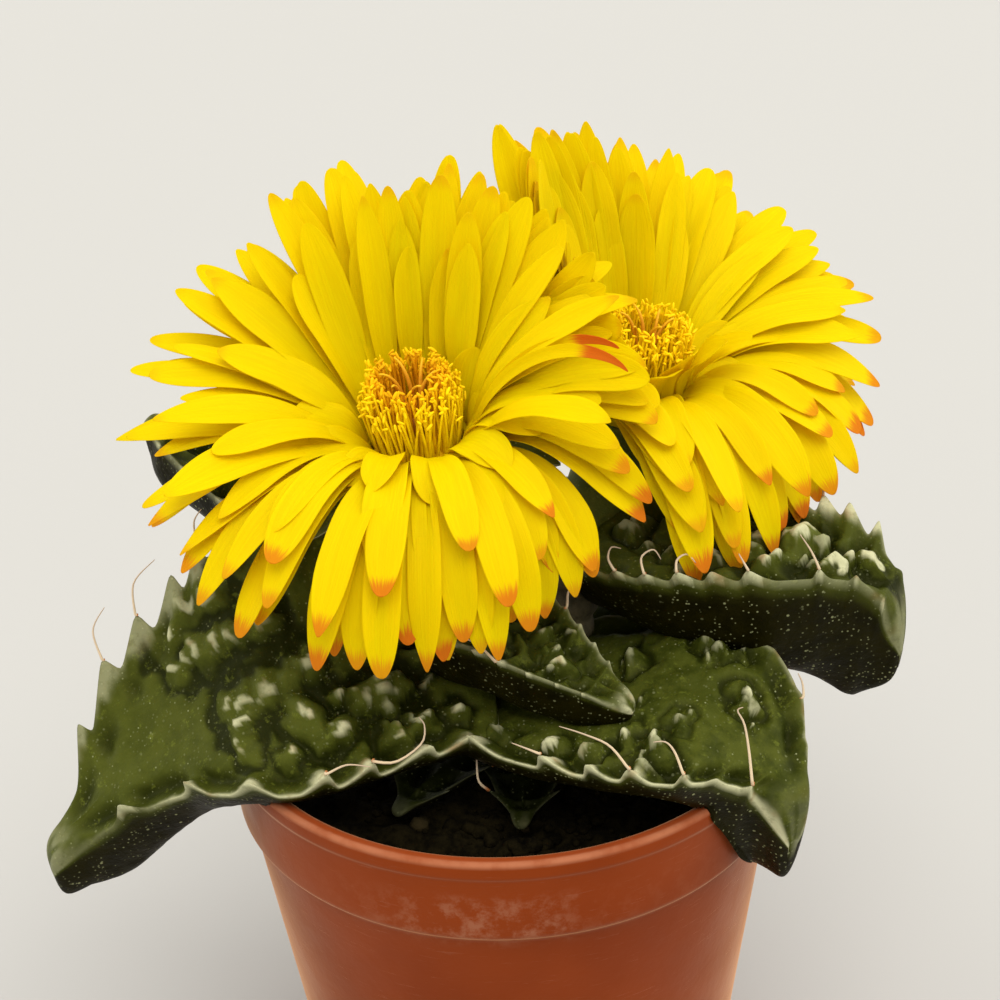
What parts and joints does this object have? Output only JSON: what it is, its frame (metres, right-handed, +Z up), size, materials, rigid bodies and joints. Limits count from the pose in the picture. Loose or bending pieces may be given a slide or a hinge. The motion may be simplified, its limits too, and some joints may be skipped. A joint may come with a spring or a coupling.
{
  "type": "potted tiger jaws",
  "caption": "Small potted succulent with thick keeled leaves edged with soft teeth, and open many-petalled yellow flowers, in a round tapered plastic nursery pot with a collar.",
  "frame": {"origin": "centre of the pot's flat base, on the surface that it stands on", "axes": "+Z up; +Y away from the viewer of the flowers' open faces; +X to that viewer's right"},
  "size_m": [0.0835, 0.0637, 0.1008],
  "materials": {
    "petals": "matte, slightly satiny, orange-red at the tips",
    "stamens": "matte",
    "pistil": "matte",
    "calyx": "matte, waxy",
    "leaves": "waxy, with pale dots and pale toothed edges",
    "stem": "matte",
    "soil": "matte, crumbly",
    "pot": "satin, slightly chalky"
  },
  "bodies": {
    "root": {"front_bloom_calyx": "calyx", "front_bloom_petals": "petals", "front_bloom_stamens": "stamens", "front_bloom_pistil": "pistil", "rear_bloom_calyx": "calyx", "rear_bloom_petals": "petals", "rear_bloom_stamens": "stamens", "rear_bloom_pistil": "pistil", "leaf_right": "leaves", "leaf_front": "leaves", "leaf_back": "leaves", "leaf_back_left": "leaves", "leaf_back_right": "leaves", "leaf_left": "leaves", "leaf_front_right": "leaves", "leaf_low_right": "leaves", "leaf_low_back": "leaves", "leaf_small_left": "leaves", "leaf_small_front": "leaves", "stem": "stem", "soil": "soil", "pot": "pot"}
  },
  "joints": []
}
